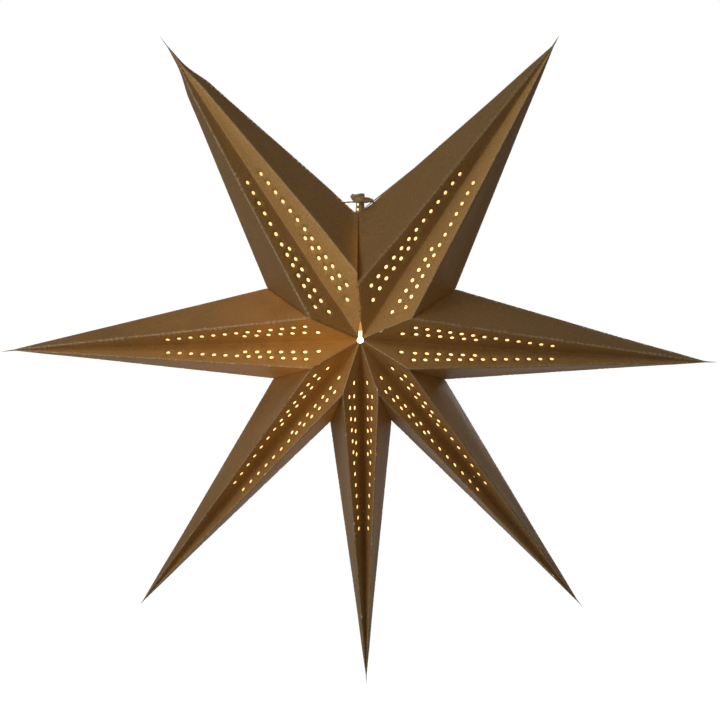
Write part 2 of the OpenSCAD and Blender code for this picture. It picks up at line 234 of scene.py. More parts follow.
def kraft(name, base, light, dark, glow=True):
    """Brown card with fibres and pale wear on its folds, with painted highlights on its seam edges,
    painted shadow in its joints and painted sheen on some panels, and with the lamp's light coming
    through it painted as a glow.
    """
    n = Nodes(name)
    mm = n.coords()
    cloud = n.noise(mm, 0.035, 3.0, 0.55)
    grain = n.noise(mm, 0.75, 5.0, 0.7)
    streak_a = n.noise(n.coords((220, 1500, 1500), (0.2, 0.5, 0.3)), 1.0, 3.0, 0.6)
    streak_b = n.noise(n.coords((1500, 1500, 260), (0.1, 0.6, 0.9)), 1.0, 3.0, 0.6)
    fibre = n.math("MAXIMUM", streak_a, streak_b)
    tone = n.math("ADD", n.math("MULTIPLY", grain, 0.5), n.math("MULTIPLY", fibre, 0.5))
    colour = n.mix(n.ramp(tone, 0.42, 0.62), dark + (1,), light + (1,))
    colour = n.mix(n.ramp(cloud, 0.35, 0.65), colour, n.mix(0.5, colour, base + (1,)))
    # Pale wear on the folds, together with painted highlights on the seam edges
    wear_and_edge_highlight = n.add("ShaderNodeAttribute", attribute_name="wear_and_edge_highlight")
    crack = n.noise(n.coords(), 0.55, 4.0, 0.7)
    worn_and_highlit = n.math("MULTIPLY", wear_and_edge_highlight.outputs["Fac"], n.ramp(crack, 0.36, 0.60), clamp=True)
    if glow:
        # Inner panels get the lighter, warmer tint: painted lamp light
        painted_lamp_warmth = n.add("ShaderNodeAttribute", attribute_name="painted_lamp_warmth")
        tint = n.mix(painted_lamp_warmth.outputs["Fac"], OUTER_TINT, INNER_LAMPLIT_TINT)
        colour = n.mix(1.0, colour, tint, "MULTIPLY")
        # Painted sheen lightens whole panels through the tone attribute, and painted shadow darkens
        # the joints between arms
        painted_sheen_of = n.add("ShaderNodeAttribute", attribute_name="tone")
        seam_shadow_of = n.add("ShaderNodeAttribute", attribute_name="gap")
        shade = n.math("MULTIPLY", seam_shadow_of.outputs["Fac"], JOINT_SHADE)
        level = n.math("MULTIPLY", painted_sheen_of.outputs["Fac"], n.math("SUBTRACT", 1.0, shade))
        plain_grey = n.tree.nodes.new("ShaderNodeCombineColor")
        for channel in ("Red", "Green", "Blue"):
            n.link(level, plain_grey.inputs[channel])
        colour = n.mix(1.0, colour, plain_grey.outputs[0], "MULTIPLY")
    bump = n.tree.nodes.new("ShaderNodeBump")
    bump.inputs["Strength"].default_value = 0.35
    bump.inputs["Distance"].default_value = 0.00008
    n.link(tone, bump.inputs["Height"])
    rough = n.tree.nodes.new("ShaderNodeMapRange")
    rough.inputs["To Min"].default_value = 0.42
    rough.inputs["To Max"].default_value = 0.60
    n.link(grain, rough.inputs["Value"])
    shader = n.tree.nodes.new("ShaderNodeBsdfPrincipled")
    shader.inputs["Specular IOR Level"].default_value = CARD_SPECULAR
    n.link(n.mix(worn_and_highlit, colour, PALE_WEAR_AND_HIGHLIGHT), shader.inputs["Base Color"])
    n.link(rough.outputs[0], shader.inputs["Roughness"])
    n.link(bump.outputs[0], shader.inputs["Normal"])
    if glow:
        through = n.add("ShaderNodeAttribute", attribute_name="glow")
        uneven = n.math("ADD", n.noise(n.coords(), 0.045, 2.0), 0.5)
        patch = n.math("MULTIPLY", through.outputs["Fac"], uneven)
        shader.inputs["Emission Color"].default_value = CARD_GLOW + (1,)
        n.link(patch, shader.inputs["Emission Strength"])
    n.link(shader.outputs[0], n.out.inputs["Surface"])
    return n.mat


def inner_card(name, gain=1.35):
    """The card's inside, which the lamp lights: its own light stands for what bounces there, and
    its colour is painted dark where the lamp's light does not reach.
    """
    n = Nodes(name)
    mm = n.coords()
    grain = n.noise(mm, 0.6, 3.0, 0.6)
    lit = n.add("ShaderNodeAttribute", attribute_name="lit")
    shader = n.tree.nodes.new("ShaderNodeBsdfPrincipled")
    shader.inputs["Roughness"].default_value = 0.7
    card = n.mix(grain, (0.42, 0.30, 0.15, 1), (0.62, 0.48, 0.28, 1))
    # Painted shade: the base colour turns dark where little of the lamp's light reaches
    reached = n.ramp(lit.outputs["Fac"], 0.0, 0.3)
    n.link(n.mix(reached, (0.07, 0.045, 0.025, 1), card), shader.inputs["Base Color"])
    n.link(n.mix(lit.outputs["Fac"], (1.0, 0.62, 0.20, 1), (1.0, 0.86, 0.50, 1)),
           shader.inputs["Emission Color"])
    strength = n.math("MULTIPLY", lit.outputs["Fac"], gain)
    n.link(strength, shader.inputs["Emission Strength"])
    n.link(shader.outputs[0], n.out.inputs["Surface"])
    return n.mat


card_mat = kraft("card_outer", CARD, CARD_LIGHT, CARD_DARK)
inner_mat = inner_card("card_inner")


# Flat layout of one panel, cut into triangles round its holes. A long row of holes runs beside
# the ridge, a short row nearer the centre fold, and one hole stands alone.
LONG_ROW = 13
LONG_START = 7
LONG_PITCH = 9.8
LONG_INSET = (12.2, 9.3)
SHORT_ROW = 6
SHORT_START = 45.2
SHORT_PITCH = 10.1
SHORT_HEIGHT = (12.9, 10.7)
LONE_HOLE = (33.9, 12.5)


def unit2(v):
    return v / v.length


def hole_places(foot, side):
    """Centres of one panel's holes, along its centre fold and across it."""
    ridge_dir = unit2(Vector((CENTRE_FOLD - foot, -side)))
    inward = Vector((-abs(ridge_dir.y), -ridge_dir.x))
    places = []
    for i in range(LONG_ROW):
        inset = LONG_INSET[0] + (LONG_INSET[1] - LONG_INSET[0]) * i / (LONG_ROW - 1)
        along = LONG_START + i * LONG_PITCH
        places.append(Vector((foot, side)) + ridge_dir * along + inward * inset)
    for i in range(SHORT_ROW):
        height = SHORT_HEIGHT[0] + (SHORT_HEIGHT[1] - SHORT_HEIGHT[0]) * i / (SHORT_ROW - 1)
        places.append(Vector((SHORT_START + i * SHORT_PITCH, height)))
    places.append(Vector(LONE_HOLE))
    return places


HOLES = hole_places(RIDGE_BACK, RIDGE_OUT)
HOLE_SIDES = 18
# Distances from an edge at which lines of points follow it
ROWS = (0.45, 1.0, 1.9)
STEP = 4.5
TIP_STEPS = [0.0, 1.2, 2.3, 3.5, 5.5, 8.5, 12.0, 16.0]


def fold_steps(length, cut=0.0):
    """Places along a fold, closer together near the tip."""
    start = TIP_STEPS[-1]
    end = length - cut
    n = max(1, round((end - start) / STEP))
    return TIP_STEPS + [start + (end - start) * i / n for i in range(1, n + 1)]


def between(a, b, step=STEP):
    n = max(1, round((b - a).length / step))
    return [a + (b - a) * i / n for i in range(n + 1)]


def inside(p, poly):
    hit = False
    j = len(poly) - 1
    for i in range(len(poly)):
        a, b = poly[i], poly[j]
        if (a.y > p.y) != (b.y > p.y):
            if p.x < (b.x - a.x) * (p.y - a.y) / (b.y - a.y) + a.x:
                hit = not hit
        j = i
    return hit


def cut_panel(outline, holes, spacing=5.0, hole_d=HOLE_D, keep_off=1.4, fine_at=None):
    """Triangles of a flat outline with round holes, with lines of points beside each edge and,
    where fine_at is given, closer points round that place."""
    points = [Vector(p) for p in outline]
    n_out = len(points)
    edges = [(i, (i + 1) % n_out) for i in range(n_out)]
    r = hole_d / 2
    for h in holes:
        start = len(points)
        for i in range(HOLE_SIDES):
            a = 2 * math.pi * i / HOLE_SIDES
            points.append(h + r * Vector((math.cos(a), math.sin(a))))
        edges += [(start + i, start + (i + 1) % HOLE_SIDES) for i in range(HOLE_SIDES)]
    segments = [(outline[i], outline[(i + 1) % n_out]) for i in range(n_out)]

    def edge_distance(p):
        best = 1e9
        for a, b in segments:
            d = b - a
            t = max(0.0, min(1.0, (p - a).dot(d) / max(d.length_squared, 1e-12)))
            best = min(best, (p - a - d * t).length)
        return best

    extra = []
    for a, b in segments:
        d = b - a
        if d.length < 0.3:
            continue
        side = Vector((-d.y, d.x)) / d.length
        middle = (a + b) / 2
        for row in ROWS:
            q = middle + side * row
            if inside(q, outline) and edge_distance(q) > row * 0.93:
                extra.append(q)
    xs = [p.x for p in outline]
    ys = [p.y for p in outline]
    row_index = 0
    y = min(ys)
    while y < max(ys):
        x = min(xs) + (spacing / 2 if row_index % 2 else 0)
        while x < max(xs):
            q = Vector((x, y))
            if inside(q, outline) and edge_distance(q) > min(3.2, spacing):
                if all((q - h).length > r + keep_off for h in holes):
                    extra.append(q)
            x += spacing
        y += spacing * 0.866
        row_index += 1
    if fine_at is not None:
        for i in range(-9, 10):
            for j in range(-9, 10):
                q = fine_at + Vector((i * 2.0 + (j % 2), j * 1.75))
                if inside(q, outline) and edge_distance(q) > 2.2:
                    if all((q - e).length > 1.2 for e in extra):
                        extra.append(q)
    points += extra
    verts, _, faces, *_ = delaunay_2d_cdt(points, edges, [], 0, 1e-5)
    kept = []
    for f in faces:
        c = (verts[f[0]] + verts[f[1]] + verts[f[2]]) / 3
        if inside(c, outline) and all((c - h).length > r * 0.97 for h in holes):
            kept.append(tuple(f))
    return verts, kept


def seeded_bulge(seed, amount):
    """A gentle unevenness of a panel, the same in each run."""
    rnd = random.Random(seed)
    waves = [(rnd.uniform(0.008, 0.028), rnd.uniform(0.02, 0.06), rnd.uniform(0, 6.28),
              rnd.uniform(0.5, 1.0)) for _ in range(4)]

    def height(u, v):
        return amount * sum(w[3] * math.sin(w[0] * u + w[1] * v + w[2]) for w in waves) / 2.2
    return height


def slit_edge(z):
    """Half the width of the slit over the centre's eye, at a height."""
    return SLIT_W / 2 * max(0.0, min(1.0, (SLIT_H - z) / 7.5)) ** 0.8


def eased(pairs, x):
    """Smooth steps between pairs of place and value."""
    if x <= pairs[0][0]:
        return pairs[0][1]
    for (x0, y0), (x1, y1) in zip(pairs, pairs[1:]):
        if x <= x1:
            t = (x - x0) / (x1 - x0)
            return y0 + (y1 - y0) * t * t * (3 - 2 * t)
    return pairs[-1][1]


# How far the top seam leans sideways, by height
LEAN = [(0, 0.0), (12, 0.2), (26, 0.7), (38, -0.5), (54, -2.3), (78, -2.3), (102, -1.6),
        (130, -1.0)]
LEAN_WIDE = 26.0


def seam_lean(p):
    """Drawn together by the tie, the two upper arms meet in a slightly wavy seam."""
    if p.z < 0:
        return 0.0
    return eased(LEAN, p.z) * math.exp(-(p.x / LEAN_WIDE) ** 2)


def shape_tip(q, rho, tip, k):
    """The pinched end of an arm: its layers lie on each other and run out in a thin point."""
    out = tip.normalized()
    side = Vector((-out.z, 0, out.x))
    if k == 4 and rho < 50:
        squeeze = 0.5 + 0.5 * eased([(18, 0.0), (50, 1.0)], rho)
        off = q - tip
        q = tip + out * off.dot(out) + side * off.dot(side) * squeeze
        q += Vector((0, off.y * squeeze, 0))
    if rho < THIN:
        flat = q - tip
        along = flat.dot(out)
        t = 1 - rho / THIN
        q = tip + out * (along * (1 - t) + TIP_OVER[k] * t) + (flat - out * along)
    reach = max(0.0, (q - tip).dot(out) + 10.0) / (TIP_OVER[k] + 10.0)
    return q + side * TIP_BEND[k] * reach ** 2.2


# How high, wide and deep the card is drawn up at the sleeve
DRAWN_UP = 6.4
DRAWN_WIDE = 4.2
DRAWN_DEEP = 13.0
SLEEVE_PLAY = 0.25


def round_sleeve(p, side):
    """Near the top notch the card is drawn up and lies round the sleeve, in front and behind."""
    if abs(p.z - NOTCH_Z) > 26 or abs(p.x) > 14:
        return p
    keep = SLEEVE_D / 2 + SLEEVE_PLAY
    deep = abs(p.y)
    rise = min(1.0, deep / DRAWN_WIDE) * max(0.0, 1 - max(0.0, deep - DRAWN_WIDE) / DRAWN_DEEP)
    q = Vector(p)
    q.z += DRAWN_UP * math.exp(-(p.x / DRAWN_WIDE) ** 2) * rise
    across = math.hypot(q.x, q.y)
    if across < keep:
        if across < 0.05:
            q.x, q.y = side * keep, 0.0
        else:
            q.x *= keep / across
            q.y *= keep / across
    return q


class Sheet:
    """Points and faces of one arm's card, with what its materials read at each of them."""
    def __init__(self):
        self.points = []
        self.faces = []
        self.index = {}
        self.wear_and_edge_highlight = []
        self.normal_push = []
        self.gap = []
        self.panel = []

    def point(self, p, key=None):
        if key is None:
            # Points that panels share are found by their place, within a hundredth of a millimetre
            cell = tuple(math.floor(c / 0.02) for c in p)
            for shift in itertools.product((0, -1, 1), repeat=3):
                near = self.index.get(tuple(c + d for c, d in zip(cell, shift)))
                if near is not None and (self.points[near] - p).length < 0.01:
                    return near
            key = cell
        if key not in self.index:
            self.index[key] = len(self.points)
            self.points.append(Vector(p))
            self.wear_and_edge_highlight.append(0.0)
            self.normal_push.append(Vector((0, 0, 0)))
            self.gap.append(0.0)
        return self.index[key]


    def face(self, corners, toward, panel):
        """A face whose front looks a given way."""
        a, b, c = (self.points[j] for j in corners[:3])
        if (b - a).cross(c - a).dot(toward) < 0:
            corners.reverse()
        self.faces.append(corners)
        self.panel.append(panel)


def line_distance(p, a, b):
    d = b - a
    t = max(0.0, min(1.0, (p - a).dot(d) / d.length_squared))
    return (p - a - d * t).length


# How pale and cracked each arm's folds are: ridge by the earlier seam, centre fold, and ridge by
# the later seam
FOLD_WEAR = [(0.70, 0.05, 0.70), (0.45, 0.05, 0.45), (0.45, 0.05, 0.55), (0.45, 0.05, 0.30),
             (0.30, 0.05, 0.85), (0.85, 0.08, 0.85), (0.55, 0.05, 0.60)]
# Painted highlight on the card's edge and painted shadow in the joint beside it, by arm, at its
# earlier seam (True) and at its later one
SEAM_HIGHLIGHT_AND_SHADOW = {(0, True): (0.0, 0.8), (0, False): (0.75, 0.0), (1, True): (0.1, 0.8),
              (1, False): (0.0, 0.9), (2, True): (0.8, 0.0), (2, False): (0.0, 0.9),
              (3, True): (0.35, 0.1), (3, False): (0.0, 0.1), (4, True): (0.0, 0.0),
              (4, False): (0.0, 0.6), (5, True): (0.0, 0.7), (5, False): (0.2, 0.3),
              (6, True): (0.2, 0.9), (6, False): (0.75, 0.0)}


RIDGE_HIGHER = 10.2
RIDGE_DEEPER = 50.0


def ridge_of(k, seam):
    """The upper left arm's ridge meets the tied seam a little higher than its neighbour's."""
    r, h = ridge_end(seam)
    return (r + RIDGE_HIGHER, RIDGE_DEEPER) if (k, seam) == (TOP_SEAM, TOP_SEAM) else (r, h)


def fill_attribute(mesh, name, values, domain="POINT"):
    attribute = mesh.attributes.new(name, "FLOAT", domain)
    for item, value in zip(attribute.data, values):
        item.value = value


def finish_piece(mesh, name, materials, node):
    """An object of the star's body, with its materials, that replaces a node if one is named."""
    obj = bpy.data.objects.new(name, mesh)
    scene.collection.objects.link(obj)
    for material in materials:
        mesh.materials.append(material)
    for poly in mesh.polygons:
        poly.use_smooth = True
    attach(obj, "root")
    if node:
        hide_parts(node)
    return obj


# An arm's eight panels are counted round the sheet from its earlier seam: the first four are in
# front. Each begins at the fold of its own number, so folds 2 and 6 are the centre folds.
PANELS = 8
FRONT = (0, 1, 2, 3)
AT_EARLIER_SEAM = (0, 1, 6, 7)
INNER = (1, 2, 5, 6)
PIERCED = (1, 2)
CENTRE_FOLDS = (2, 6)
SIDE_FOLDS = (0, 4)
SIDE_WEAR = 0.3
# Bulge of the panels, and how far from their edges and from the tip it is at its full height
BULGE_SEED = 3
BULGE_INNER, BULGE_OUTER = 0.55, 0.9
CALM_EDGE = 14.0
CALM_TIP = 60.0
# Rounding of the folds: its reach, its depth, and where along the fold it begins and is full
ROUND_REACH = 1.9
ROUND_DEPTH = 0.55
ROUND_FROM, ROUND_OVER = 30, 40
# How far wear, the painted highlight on the card's edge and the painted shadow in the joint reach
# into a panel
WEAR_REACH = 1.15
EDGE_HIGHLIGHT_REACH = 1.6
SEAM_SHADOW_REACH = 1.2
OUTER_SEAM_SHADOW = 0.5
OUTER_SEAM_SHADOW_REACH = 1.0
ON_EDGE = 1e-3
# Heights of the points along the slit's lips
LIPS = [4.5, 6.5, 8.5, 10.5, 12.0, 13.5, 15.0, 16.2]
EYE_STEPS = 5
# Distance from the star's axis at which the glue flaps of the inner panels begin
FLAP_FROM = 3.2
# Share of the card's thickness at the tip, and how far from it the card has all of it
TIP_CARD = 0.12
FULL_CARD = 70.0


class Panel:
    """One flat panel of an arm, with a flat layout whose origin is the arm's tip."""
    def __init__(self, k, i, tip, ends, normals):
        self.arm, self.number, self.tip = k, i, tip
        self.first, self.last = ends[i], ends[(i + 1) % PANELS]
        self.normal = normals[i]
        self.before, self.after = normals[(i - 1) % PANELS], normals[(i + 1) % PANELS]
        self.u_axis = (self.first - tip).normalized()
        over = (self.last - tip) - self.u_axis * (self.last - tip).dot(self.u_axis)
        self.v_axis = over.normalized()
        self.seam = k if i in AT_EARLIER_SEAM else k + 1
        self.inner = i in INNER
        self.centre_first = i in CENTRE_FOLDS
        if self.inner:
            self.ring, self.joint = self.inner_ring()
        else:
            self.ring, self.joint = self.outer_ring()
        self.corner_a, self.corner_b = self.flat(self.first), self.flat(self.last)

    def flat(self, p):
        return Vector(((p - self.tip).dot(self.u_axis), (p - self.tip).dot(self.v_axis)))

    def solid(self, q):
        return self.tip + self.u_axis * q.x + self.v_axis * q.y

    def drop_on(self, x, z):
        """The panel's point straight behind a place of the front view."""
        off = self.normal.x * (x - self.tip.x) + self.normal.z * (z - self.tip.z)
        return Vector((x, self.tip.y - off / self.normal.y, z))

    def fold(self, end, steps):
        """Points along the fold that runs from the tip to a corner."""
        toward = (end - self.tip).normalized()
        return [self.tip + toward * s for s in steps]

    def outer_ring(self):
        """The outline, and the seam edge from the notch to the ridge."""
        fold_a = self.fold(self.first, fold_steps((self.first - self.tip).length))
        fold_b = self.fold(self.last, fold_steps((self.last - self.tip).length))
        edge = between(self.first, self.last)
        joint = edge if self.number in SIDE_FOLDS else edge[::-1]
        return fold_a + edge[1:-1] + fold_b[:0:-1], joint

    def inner_ring(self):
        """The outline, cut out at the centre's eye, and the seam edge from there to the ridge."""
        centre, ridge = self.centre_and_ridge()
        eye = EYE_D / 2
        centre_fold = (centre - self.tip).length
        flat_length = Vector((centre.x - self.tip.x, 0, centre.z - self.tip.z)).length
        centre_points = self.fold(centre, fold_steps(CENTRE_FOLD, eye * centre_fold / flat_length))
        ridge_points = self.fold(ridge, fold_steps((ridge - self.tip).length))
        here = direction(self.arm)
        end = seam_angle(self.seam)
        side = 1 if self.arm == TOP_SEAM - 1 else -1
        slit = self.seam == TOP_SEAM
        if slit:
            end -= side * (90 - math.degrees(math.acos(slit_edge(eye) / eye)))
        arc = []
        for j in range(1, EYE_STEPS + 1):
            d = math.radians(here + (end - here) * j / EYE_STEPS)
            arc.append(self.drop_on(eye * math.cos(d), eye * math.sin(d)))
        if slit:
            joint = between(self.drop_on(0.0, SLIT_H), ridge)
            edge = [self.drop_on(side * slit_edge(z), z) for z in LIPS] + joint[:-1]
        else:
            joint = between(arc[-1], ridge)
            edge = joint[1:-1]
        if self.centre_first:
            return centre_points + arc + edge + ridge_points[:0:-1], joint
        return ridge_points + (arc + edge)[::-1] + centre_points[:0:-1], joint

    def centre_and_ridge(self):
        return (self.first, self.last) if self.centre_first else (self.last, self.first)

    def holes(self):
        if self.number not in PIERCED:
            return []
        centre, ridge = self.centre_and_ridge()
        along = (self.tip - centre).normalized()
        over = ((ridge - centre) - along * (ridge - centre).dot(along)).normalized()
        return [self.flat(centre + along * h.x + over * h.y) for h in HOLES]

    def fine_at(self):
        """Where the card is drawn up at the sleeve, it needs closer points."""
        if self.inner or self.seam != TOP_SEAM:
            return None
        return self.flat(place(seam_angle(self.seam), notch_radius(self.seam), 0))


def wear_of(k, fold):
    earlier, centre, later = FOLD_WEAR[k]
    return (SIDE_WEAR, earlier, centre, later, SIDE_WEAR, later, centre, earlier)[fold]


def fading(distance, reach):
    return max(0.0, 1 - distance / reach)


def add_panel(sheet, panel):
    """A panel's triangles, with each point's bulge, wear, painted edge highlight and painted joint
    shadow.
    """
    k, i, normal = panel.arm, panel.number, panel.normal
    outline = [panel.flat(p) for p in panel.ring]
    verts, faces = cut_panel(outline, panel.holes(), fine_at=panel.fine_at())
    bulge = seeded_bulge(k * PANELS + i + BULGE_SEED, BULGE_INNER if panel.inner else BULGE_OUTER)
    pale, dark = SEAM_HIGHLIGHT_AND_SHADOW[(k, panel.seam == k)]
    origin = Vector((0, 0))
    ids = []
    for q in verts:
        p = panel.solid(q)
        d_a = line_distance(q, origin, panel.corner_a)
        d_b = line_distance(q, origin, panel.corner_b)
        d_e = line_distance(q, panel.corner_a, panel.corner_b)
        near = min(d_a, d_b, d_e)
        key = None if near < ON_EDGE else (i, round(q.x, 4), round(q.y, 4))
        index = sheet.point(p, key)
        ids.append(index)
        fold_near = min(d_a, d_b)
        fold, other = (i, panel.before) if d_a < d_b else ((i + 1) % PANELS, panel.after)
        radial = q.length
        window = min(1.0, near / CALM_EDGE) ** 1.5
        push = normal * bulge(q.x, q.y) * window * min(1.0, radial / CALM_TIP)
        if fold_near < ROUND_REACH and radial > ROUND_FROM:
            mean = (normal + other).normalized()
            depth = ROUND_DEPTH * (1 - fold_near / ROUND_REACH) ** 2
            depth *= min(1.0, (radial - ROUND_FROM) / ROUND_OVER)
            push += mean * (depth if fold in CENTRE_FOLDS else -depth)
        sheet.normal_push[index] = push
        worn_and_highlit = wear_of(k, fold) * fading(fold_near, WEAR_REACH)
        joint = 0.0
        # Inner panels get a painted highlight on the seam edge and a painted shadow in the joint
        # beside it; outer panels get only the painted shadow
        if panel.inner:
            worn_and_highlit = max(worn_and_highlit, pale * fading(d_e, EDGE_HIGHLIGHT_REACH))
            joint = dark * fading(d_e, SEAM_SHADOW_REACH)
        elif panel.seam != TOP_SEAM:
            joint = OUTER_SEAM_SHADOW * fading(d_e, OUTER_SEAM_SHADOW_REACH)
        sheet.wear_and_edge_highlight[index] = max(sheet.wear_and_edge_highlight[index], worn_and_highlit)
        sheet.gap[index] = max(sheet.gap[index], joint)
    for face in faces:
        corners = [ids[j] for j in face]
        if len(set(corners)) == 3:
            sheet.face(corners, normal, i)


def add_flap(sheet, panel):
    """The glue flap on a panel's seam edge, which lies in the plane of the seam."""
    k, seam = panel.arm, panel.seam
    seam_dir = place(seam_angle(seam), 1, 0)
    face = 1 if panel.number in FRONT else -1
    ridge = Vector(ridge_of(k, seam))
    notch = Vector((notch_radius(seam), 0))
    edge_in = (ridge - Vector((0, CENTRE_RISE))).normalized()
    edge_out = (notch - ridge).normalized()
    in_in = Vector((edge_in.y, -edge_in.x))
    in_out = Vector((edge_out.y, -edge_out.x))
    corner = ridge + FLAP_W * (in_in + in_out) / (1 + in_in.dot(in_out))
    if panel.inner:
        start = corner + edge_in * (FLAP_FROM - corner.x) / edge_in.x
        if seam == TOP_SEAM:
            start = start.lerp(corner, SLIT_H / ridge.x)
    else:
        start = corner - edge_out * corner.y / edge_out.y
    lows = []
    for j in range(len(panel.joint)):
        w = start.lerp(corner, j / (len(panel.joint) - 1))
        lows.append(sheet.point(seam_dir * w.x + Vector((0, -face * w.y, 0))))
    highs = [sheet.point(p) for p in panel.joint]
    outward = seam_dir.cross(Vector((0, 1, 0))).normalized()
    if outward.dot(panel.tip) > 0:
        outward = -outward
    for j in range(len(panel.joint) - 1):
        quad = list(dict.fromkeys([highs[j], highs[j + 1], lows[j + 1], lows[j]]))
        if len(quad) > 2:
            sheet.face(quad, outward, panel.number)


def build_arm(k):
    """One arm's folded card, which replaces its solid."""
    tip = place(direction(k), TIP_RADIUS, 0)
    a0, a1 = seam_angle(k), seam_angle(k + 1)
    (r0, h0), (r1, h1) = ridge_of(k, k), ridge_of(k, k + 1)
    ends = [place(a0, notch_radius(k), 0), place(a0, r0, h0), place(0, 0, CENTRE_RISE),
            place(a1, r1, h1), place(a1, notch_radius(k + 1), 0),
            place(a1, r1, -h1), place(0, 0, -CENTRE_RISE), place(a0, r0, -h0)]
    normals = [(ends[(i + 1) % PANELS] - tip).cross(ends[i] - tip).normalized()
               for i in range(PANELS)]
    sheet = Sheet()
    for i in range(PANELS):
        panel = Panel(k, i, tip, ends, normals)
        add_panel(sheet, panel)
        add_flap(sheet, panel)

    moved = []
    for p, push in zip(sheet.points, sheet.normal_push):
        q = shape_tip(p + push, (p - tip).length, tip, k)
        if TOP_SEAM in (k, k + 1):
            q = q + Vector((seam_lean(p), 0, 0))
            q = round_sleeve(q, -1 if k == TOP_SEAM else 1)
        moved.append(q)

    mesh = bpy.data.meshes.new("card_" + ARMS[k])
    mesh.from_pydata([to_row(p) for p in moved], [], sheet.faces)
    mesh.update()
    fill_attribute(mesh, "wear_and_edge_highlight", sheet.wear_and_edge_highlight)
    fill_attribute(mesh, "gap", sheet.gap)
    fill_attribute(mesh, "painted_lamp_warmth", [float(i in INNER) for i in sheet.panel], "FACE")
    fill_attribute(mesh, "tone", [PAINTED_SHEEN_PANELS.get((k, i), 1.0) for i in sheet.panel], "FACE")
    fill_attribute(mesh, "glow", [glow_at(p, k) for p in sheet.points])
    fill_attribute(mesh, "lit", [lit_at(p) for p in sheet.points])
    obj = finish_piece(mesh, "card_" + ARMS[k], [card_mat, inner_mat], ARMS[k])
    group = obj.vertex_groups.new(name="thick")
    for j, p in enumerate(sheet.points):
        group.add([j], max(TIP_CARD, min(1.0, (p - tip).length / FULL_CARD)), "REPLACE")
    solidify = obj.modifiers.new("card", "SOLIDIFY")
    solidify.thickness = CARD_T * MM
    solidify.offset = -1
    solidify.use_even_offset = False
    solidify.vertex_group = "thick"
    solidify.thickness_vertex_group = 0.1
    solidify.material_offset = 1
    solidify.material_offset_rim = 0


INSIDE_LIT = 0.31
LIT_REACH = 120.0


def lit_at(p):
    """How much of the lamp's light reaches the inside of the card."""
    if p.z > NOTCH_Z - 16 and abs(p.x) < 22:
        return 0.02
    return INSIDE_LIT + (1 - INSIDE_LIT) / (1.0 + ((p - LAMP).length / LIT_REACH) ** 2)


GLOW_ALL = 0.030
GLOW_LEFT = 0.100
GLOW_TOWARD = 190.0
GLOW_FULL, GLOW_REACH = 80.0, 120.0
SEAM_GLOW = 0.13
SEAM_GLOW_WIDE = 4.0
SEAM_GLOW_BAND = [(58, 0.0), (66, 1.0), (84, 0.8), (100, 0.1)]


def glow_at(p, k):
    """Warm light that comes through the card, stronger near the lamp and to the left."""
    toward = math.cos(math.radians(direction(k) - GLOW_TOWARD))
    amount = GLOW_ALL + GLOW_LEFT * max(0.0, toward) ** 3
    value = amount * math.exp(-((p - LAMP).length - GLOW_FULL) / GLOW_REACH)
    if k == TOP_SEAM and p.z > 55 and p.y < 0:
        value += SEAM_GLOW * math.exp(-abs(p.x) / SEAM_GLOW_WIDE) * eased(SEAM_GLOW_BAND, p.z)
    return value


for arm_index in range(COUNT):
    build_arm(arm_index)


# Cord sleeve: a strip of card rolled into a tube, with two small holes in front
SLEEVE_BOTTOM = SLEEVE_TOP - 57.5
SLEEVE_WIDTHS = [(SLEEVE_BOTTOM, 3.8), (NOTCH_Z - 1, 3.85), (NOTCH_Z + 2.5, 3.95),
                 (NOTCH_Z + 6, 3.55), (NOTCH_Z + 10, 3.45), (SLEEVE_TOP, 3.55)]
SLEEVE_GIRTH = 2 * math.pi * 3.6
SLEEVE_WALL = 0.35
DOT_HEIGHTS = (110.4, 106.2)
DOT_ASIDE = 2.2
DOT_D = 1.95
DOT_KEEP_OFF = 0.35
ROUND_STEPS = 26
HIGH_STEPS = 50
# The sheet overlaps itself along its end, and its upper rim is uneven
LAP = 0.28
LAP_WIDE = 2.5
RIM_HIGH = 6


